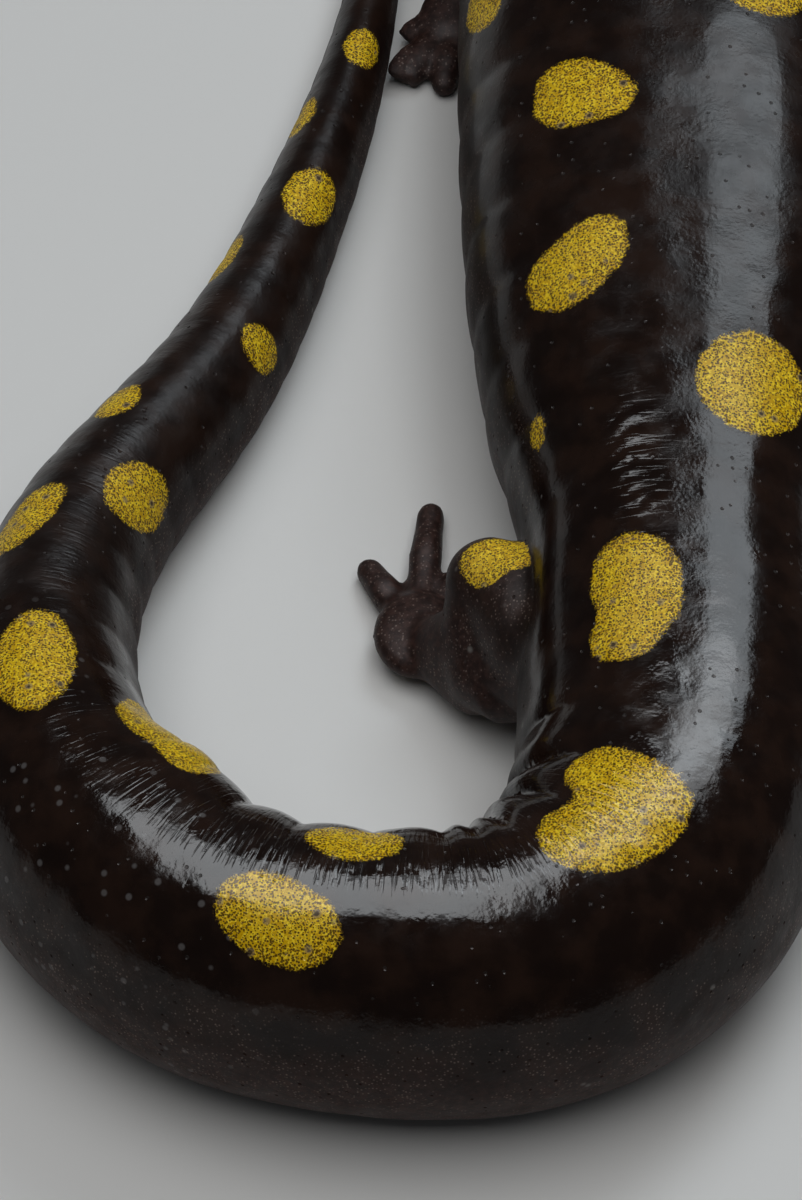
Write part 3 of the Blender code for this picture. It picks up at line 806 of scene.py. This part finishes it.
def inner_side(body):
    """Up to 1 on the skin that is crowded together towards the inside of a bend."""
    inward = body.around * np.sign(body.curl)
    bent = smoothstep(np.abs(body.curl) * 26) * rising(body.along, *CROWDED_FROM)
    bent *= 1 - 0.85 * rising(body.along, *CROWDED_TO)
    return bent * rising(inward, *INWARD_FROM) * (1 - 0.8 * rising(inward, *INWARD_TO))


def store(mesh_data, name, values):
    kind = "FLOAT_VECTOR" if values.ndim == 2 else "FLOAT"
    key = "vector" if values.ndim == 2 else "value"
    layer = mesh_data.attributes.new(name, kind, "POINT")
    layer.data.foreach_set(key, np.ascontiguousarray(values, np.float32).ravel())


def finish_piece(name, mesh, material, replaced):
    bmesh.ops.scale(mesh, vec=(MM, MM, MM), verts=mesh.verts)
    for face in mesh.faces:
        face.smooth = True
    piece = as_object(name, mesh)
    piece.data.materials.append(material)
    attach(piece, "root")
    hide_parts(*replaced)
    return piece


# ---------------- finishes
BACK_COLOURS = (0.0085, 0.0042, 0.0030), (0.0190, 0.0092, 0.0060)
BELLY_COLOURS = (0.016, 0.0060, 0.0042), (0.040, 0.0175, 0.0130)
SPECK_COLOUR = (0.175, 0.130, 0.110)
STREAK_COLOUR = (0.055, 0.032, 0.028)
GLAND_COLOUR = (0.26, 0.25, 0.235)
TAIL_DOT_COLOUR = (0.24, 0.23, 0.23)
YELLOW_COLOURS = (0.60, 0.35, 0.002), (0.68, 0.43, 0.006)
GLINT_COLOUR = (0.98, 0.72, 0.03)
STIPPLE_COLOUR = (0.065, 0.030, 0.004)
PORE_RIM_COLOUR, PORE_COLOUR = (0.20, 0.155, 0.11), (0.035, 0.020, 0.012)
IRIS_COLOURS = (0.010, 0.006, 0.004), (0.060, 0.034, 0.014)
EYE_RING_COLOUR, PUPIL_COLOUR = (0.22, 0.13, 0.035), (0.001, 0.001, 0.001)

# Cells to a millimetre.
STIPPLE_CELLS, GLINT_CELLS, SPECK_CELLS = 9.4, 11.0, 6.5
PORE_CELLS, SPOT_PORE_CELLS, GLAND_CELLS, TAIL_DOT_CELLS = 1.7, 1.1, 0.62, 1.05
# How closely a pattern is packed round the body, along it, and in level.
STREAK_STRETCH, LINE_STRETCH = (1.3, 0.16, 1.3), (0.28, 2.3, 0.28)
TAIL_TURNS_DULL = 131, 143  # from the snout
LUMP_HEIGHT, SWELL_HEIGHT, GRAIN_HEIGHT = 0.05, 0.14, 0.008
STIPPLE_HEIGHT, PORE_DEPTH, LINE_DEPTH = 0.008, 0.045, 0.04


class Value:
    """A number that changes over the surface; expressions on it add Math nodes."""

    def __init__(self, finish, socket):
        self.finish, self.socket = finish, socket

    def math(self, operation, *others):
        values = dict(enumerate((self, *others)))
        return self.finish.node("ShaderNodeMath", {"operation": operation}, values)

    def __add__(self, other):
        return self.math("ADD", other)

    def __mul__(self, other):
        return self.math("MULTIPLY", other)

    def __sub__(self, other):
        return self.math("SUBTRACT", other)

    def __rsub__(self, other):
        return (self * -1) + other

    __radd__, __rmul__ = __add__, __mul__

    def ramp(self, start, end):
        """0 at the start, 1 at the end, and smooth between them, whichever is the greater."""
        values = {"Value": self, "From Min": min(start, end), "From Max": max(start, end)}
        climb = self.finish.node("ShaderNodeMapRange", {"interpolation_type": "SMOOTHSTEP"}, values)
        return climb if start < end else 1 - climb


class Finish:
    """A material, and the one way that nodes are added to it."""

    def __init__(self, name, **surface):
        self.material = bpy.data.materials.new(name)
        self.material.use_nodes = True
        self.tree = self.material.node_tree
        self.surface = self.tree.nodes["Principled BSDF"]
        for key, value in surface.items():
            socket = key.replace("_", " ").title().replace("Ior", "IOR")
            self.surface.inputs[socket].default_value = value

    def node(self, kind, settings=None, values=None, output=0):
        node = self.tree.nodes.new(kind)
        for key, value in (settings or {}).items():
            setattr(node, key, value)
        for key, value in (values or {}).items():
            self.feed(node.inputs[key], value)
        return Value(self, node.outputs[output])

    def feed(self, target, value):
        if isinstance(value, Value):
            self.tree.links.new(value.socket, target)
        else:
            target.default_value = value

    def attribute(self, name, output):
        return self.node("ShaderNodeAttribute", {"attribute_name": name}, output=output)

    def stretched(self, place, scale):
        return self.node("ShaderNodeVectorMath", {"operation": "MULTIPLY"}, {0: place, 1: scale})

    def in_millimetres(self):
        """The place on the piece, in millimetres."""
        return self.stretched(self.node("ShaderNodeTexCoord", output="Object"), (1 / MM,) * 3)

    def noise(self, place, scale, detail=2.0, roughness=0.5):
        values = {"Vector": place, "Scale": scale, "Detail": detail, "Roughness": roughness}
        return self.node("ShaderNodeTexNoise", None, values)

    def cells(self, place, scale, output="Distance"):
        """How far each place is from the middle of its cell."""
        return self.node("ShaderNodeTexVoronoi", None, {"Vector": place, "Scale": scale}, output)

    def chance(self, place, scale, which):
        """A chance value from 0 to 1 that is the same all over a cell."""
        return self.channel(self.cells(place, scale, "Color"), which)

    def channel(self, colour, which):
        return self.node("ShaderNodeSeparateColor", None, {"Color": colour}, which)

    def mix(self, share, first, second):
        """From the first colour to the second; each is a Value, or red, green and blue."""
        first, second = (side if isinstance(side, Value) else opaque(side) for side in (first, second))
        return self.node("ShaderNodeMix", {"data_type": "RGBA"}, {0: share, 6: first, 7: second}, 2)

    def paint(self, socket, value):
        self.feed(self.surface.inputs[socket], value)

    def bump(self, height):
        """Height is in millimetres."""
        values = {"Strength": 1.0, "Distance": MM, "Height": height}
        self.paint("Normal", self.node("ShaderNodeBump", None, values))


def opaque(colour):
    return (*colour, 1.0)


class WetSkin(Finish):
    """Near-black wet ground, yellow stippled spots, pores and fine wrinkles."""

    def __init__(self):
        super().__init__("wet_skin", ior=1.29, coat_roughness=0.05, coat_ior=1.25)
        self.place = self.in_millimetres()
        self.body = self.attribute("body", "Vector")
        self.around, self.along = (self.channel(self.body, which) for which in (0, 1))
        self.flank = self.attribute("flank", "Fac")
        self.lined = self.attribute("lined", "Fac")
        self.low_down = self.flank.ramp(0.0, 0.5)

        # A spot's edge is ragged, both broadly and finely.
        broad, fine = self.noise(self.place, 0.8), self.noise(self.place, 8.5)
        self.depth = self.attribute("spot", "Fac") + ((broad - 0.5) * 0.4 + (fine - 0.5) * 0.16)
        self.on_spot = self.depth.ramp(-0.1, 0.25)

        # Stipple is larger where its cell's chance value is high, and near a spot's edge.
        choice = self.chance(self.place, STIPPLE_CELLS, 2)
        size = 0.43 + choice * 0.22 - self.depth.ramp(0.0, 0.8) * 0.11
        self.stipple = (size - self.cells(self.place, STIPPLE_CELLS)).ramp(-0.03, 0.08)

        pore = self.cells(self.place, PORE_CELLS).ramp(0.17, 0.06)
        self.pores = pore * self.chance(self.place, PORE_CELLS, 0).ramp(0.45, 0.6)

        spotted = (self.depth + (choice - 0.5) * 0.16).ramp(-0.05, 0.06)
        self.paint("Base Color", self.mix(spotted, self.ground(), self.yellow()))
        self.wetness()
        self.fine_relief()

    def ground(self):
        """Brownish black on the back, and lighter, mottled and dusted towards the belly."""
        cloud = self.noise(self.place, 0.55, 3)
        grain = self.noise(self.place, 3.2, 3, 0.6)
        back = self.mix(cloud.ramp(0.35, 0.7), *BACK_COLOURS)
        belly = self.mix(grain.ramp(0.36, 0.68), *BELLY_COLOURS)
        ground = self.mix((self.flank + (cloud - 0.5) * 0.5).ramp(0.25, 0.95), back, belly)

        dusted = self.flank.ramp(0.0, 0.3) * (cloud + grain).ramp(0.85, 1.1)
        specks = self.cells(self.place, SPECK_CELLS).ramp(0.4, 0.15)
        specks = specks * self.chance(self.place, SPECK_CELLS, 0).ramp(0.15, 0.7) * dusted
        ground = self.mix(specks * 0.75, ground, SPECK_COLOUR)

        streak = self.noise(self.stretched(self.body, STREAK_STRETCH), 1.0, 3, 0.6)
        streaks = streak.ramp(0.56, 0.66) * self.lined * self.flank.ramp(0.1, 0.5)
        ground = self.mix(streaks * 0.4, ground, STREAK_COLOUR)

        glands = self.cells(self.place, GLAND_CELLS).ramp(0.13, 0.03)
        glands = glands * self.chance(self.place, GLAND_CELLS, 1).ramp(0.6, 0.62)
        ground = self.mix(glands * self.flank.ramp(0.15, 0.4) * 0.5, ground, GLAND_COLOUR)

        outer = self.along.ramp(116, 120) * self.along.ramp(141, 134) * self.around.ramp(3.0, 1.5)
        dots = self.cells(self.place, TAIL_DOT_CELLS).ramp(0.2, 0.1) * outer
        return self.mix(dots * 0.3, ground, TAIL_DOT_COLOUR)

    def yellow(self):
        """Yellow with pale glints, dark stipple, and a few grey pores with dark centres."""
        yellow = self.mix(self.noise(self.place, 1.1).ramp(0.35, 0.68), *YELLOW_COLOURS)
        glint = self.chance(self.place, GLINT_CELLS, 1)
        yellow = self.mix(glint.ramp(0.5, 0.95) * 0.8, yellow, GLINT_COLOUR)
        yellow = self.mix(self.stipple * 0.9, yellow, STIPPLE_COLOUR)
        pore = self.cells(self.place, SPOT_PORE_CELLS)
        chosen = self.chance(self.place, SPOT_PORE_CELLS, 0).ramp(0.4, 0.45)
        yellow = self.mix(pore.ramp(0.27, 0.16) * chosen * 0.6, yellow, PORE_RIM_COLOUR)
        return self.mix(pore.ramp(0.15, 0.09) * chosen * 0.9, yellow, PORE_COLOUR)

    def wetness(self):
        """Wettest on the back and the first bend; duller on spots, low flanks and the thin tail."""
        thin_tail = self.along.ramp(*TAIL_TURNS_DULL)
        bent = self.along.ramp(96, 99) * self.along.ramp(123, 119)
        coat = 0.3 * (1 - self.low_down) * (1 - thin_tail)
        self.paint("Coat Weight", coat * (1 - self.on_spot * (1 - bent * 0.5)))
        damp = self.noise(self.place, 0.8, 3).ramp(0.3, 0.75)
        dull = damp * 0.13 + 0.09 + self.low_down * 0.36 + thin_tail * 0.2
        dull = dull + self.on_spot * (0.18 - bent * 0.13)
        dull = dull + self.along.ramp(84, 64) * self.along.ramp(30, 45) * 0.1
        self.paint("Roughness", dull + self.pores * 0.6)

    def fine_relief(self):
        """Lines across the body, pores, and small lumps that are calmer on the trunk."""
        wave = self.noise(self.stretched(self.body, LINE_STRETCH), 1.0)
        lines = (wave - 0.5).math("ABSOLUTE").ramp(0.10, 0.0)
        calm = self.along.ramp(88, 104) * 0.55 + 0.45
        lumps = (self.noise(self.place, 0.9, 3) - 0.5) * calm * LUMP_HEIGHT
        swells = (self.noise(self.place, 0.33, 2, 0.4) - 0.5) * calm * SWELL_HEIGHT
        grains = (self.noise(self.place, 5.5) - 0.5) * GRAIN_HEIGHT
        height = lumps + swells + grains - self.pores * PORE_DEPTH
        height = height - lines * self.lined * LINE_DEPTH
        self.bump(height + self.stipple * self.on_spot * STIPPLE_HEIGHT)


class DarkEye(Finish):
    """A black pupil in a dark brown iris, with a fine gold ring round the pupil."""

    def __init__(self):
        super().__init__("dark_eye", roughness=0.25, coat_weight=1.0, coat_roughness=0.02)
        turn = self.attribute("turn", "Fac")  # angle from the middle of the pupil, in radians
        fibres = self.noise(self.in_millimetres(), 7.0, 3, 0.6)
        iris = self.mix(fibres.ramp(0.4, 0.75), *IRIS_COLOURS)
        ring = turn.ramp(0.36, 0.385) * turn.ramp(0.46, 0.40)
        iris = self.mix(ring * 0.5, iris, EYE_RING_COLOUR)
        self.paint("Base Color", self.mix(turn.ramp(0.35, 0.372), PUPIL_COLOUR, iris))


def build_eye(side):
    _, centre, look = eye_place(side)
    mesh = ball((0, 0, 0), EYE_RADIUS, EYE_SEGMENTS, EYE_SEGMENTS // 2)
    points = points_of(mesh)
    turn = np.arccos(np.clip(points @ np.array(look) / EYE_RADIUS, -1, 1))
    # The clear front bulges a little.
    points *= (1 + CORNEA_BULGE * falling(turn, *CORNEA_TO))[:, None]
    move_to(mesh, points + np.array(centre))
    return mesh, turn


# ---------------- the pieces
skin_nodes = sorted(set(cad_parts) - {"eye_left", "eye_right"})
skin_mesh = build_skin()
body = BodyMap(points_of(skin_mesh))
painted_by = {
    "spot": spot_field(body),
    "body": np.stack([body.around, body.along, body.level], -1),
    "flank": np.maximum(rising(np.abs(body.degrees), *BELLY_TURN_FROM), LIMB_AS_BELLY * body.limb),
    "lined": (1 - body.limb) * (LINED_ALL_OVER + inner_side(body) + LINED_HIP * hip_patch(body)),
}
skin_piece = finish_piece("skin", skin_mesh, WetSkin().material, skin_nodes)
for name, values in painted_by.items():
    store(skin_piece.data, name, values)

eye_finish = DarkEye().material
for name, side in (("eye_left", 1), ("eye_right", -1)):
    eye_mesh, turn = build_eye(side)
    eye_piece = finish_piece("glossy_" + name, eye_mesh, eye_finish, [name])
    store(eye_piece.data, "turn", turn)


# ---------------- floor, light and camera
FLOOR_COLOUR, FLOOR_REACH, FLOOR_DROP = (0.72, 0.715, 0.70), 60, 0.02
ROOM_COLOUR, ROOM_STRENGTH = (0.9, 0.95, 1.0), 0.05
CAMERA_PLACE, CAMERA_BACKWARD = (6.958, 234.695, 267.861), (0, 0.61566, 0.78801)
LENS, SENSOR_WIDTH = 230.4, 36
COOL, COOLER = (0.93, 0.97, 1.0), (0.86, 0.94, 1.0)

# Name, place, the point it faces, width and height, radiance, and what sets it apart. The places
# and sizes of lights are in metres. The sky lights the skin and makes no gloss; the two low panels
# make gloss only.
LIGHTS = (
    ("sky", (0, 0.1, 1.2), (0, 0, 0), (1.2, 1.2), 1.75, {"glossy": False}),
    ("window", (-0.1531, -0.2482, 0.3539), (0.0529, 0.0148, 0.0479), (0.24, 0.13), 6.2,
     {"roll": 44, "tint": COOLER}),
    ("near_panel", (0.016, 0.0275, 0.062), (0.016, 0.0275, 0), (0.042, 0.046), 8.6,
     {"tint": COOL, "diffuse": False}),
    ("side_panel", (-0.021, 0.014, 0.060), (-0.021, 0.014, 0), (0.026, 0.025), 6.2,
     {"tint": COOL, "diffuse": False}),
)


def build_floor():
    floor = Finish("pale_floor", base_color=opaque(FLOOR_COLOUR), roughness=0.75)
    mesh = bmesh.new()
    bmesh.ops.create_grid(mesh, x_segments=1, y_segments=1, size=FLOOR_REACH)
    bmesh.ops.translate(mesh, vec=(0, 0, -FLOOR_DROP * MM), verts=mesh.verts)
    plane = as_object("floor", mesh)
    plane.data.materials.append(floor.material)


def soft_light(name, place, aim, size, radiance, roll=0, tint=(1, 1, 1), glossy=True, diffuse=True):
    """A flat panel at a place, facing the point it is aimed at."""
    width, height = size
    light = bpy.data.lights.new(name, "AREA")
    light.shape = "RECTANGLE"
    light.size, light.size_y = width, height
    light.energy = radiance * math.pi * width * height
    light.color = tint
    holder = bpy.data.objects.new(name, light)
    holder.location = place
    way = Vector(place) - Vector(aim)
    turned = way.to_track_quat("Z", "Y") @ Quaternion((0, 0, 1), math.radians(roll))
    holder.rotation_euler = turned.to_euler()
    holder.visible_camera = False
    holder.visible_glossy = glossy
    holder.visible_diffuse = diffuse
    bpy.context.scene.collection.objects.link(holder)


def build_camera():
    lens = bpy.data.cameras.new("camera")
    lens.lens, lens.sensor_width = LENS, SENSOR_WIDTH
    lens.clip_start, lens.clip_end = 0.01, 100
    holder = bpy.data.objects.new("camera", lens)
    holder.location = Vector(CAMERA_PLACE) * MM
    holder.rotation_euler = Vector(CAMERA_BACKWARD).to_track_quat("Z", "Y").to_euler()
    bpy.context.scene.collection.objects.link(holder)
    bpy.context.scene.camera = holder


def build_room():
    world = bpy.data.worlds.new("room")
    world.use_nodes = True
    background = world.node_tree.nodes["Background"]
    background.inputs["Color"].default_value = opaque(ROOM_COLOUR)
    background.inputs["Strength"].default_value = ROOM_STRENGTH
    bpy.context.scene.world = world
    bpy.context.scene.view_settings.view_transform = "Standard"


build_floor()
build_room()
build_camera()
for name, place, aim, size, radiance, apart in LIGHTS:
    soft_light(name, place, aim, size, radiance, **apart)
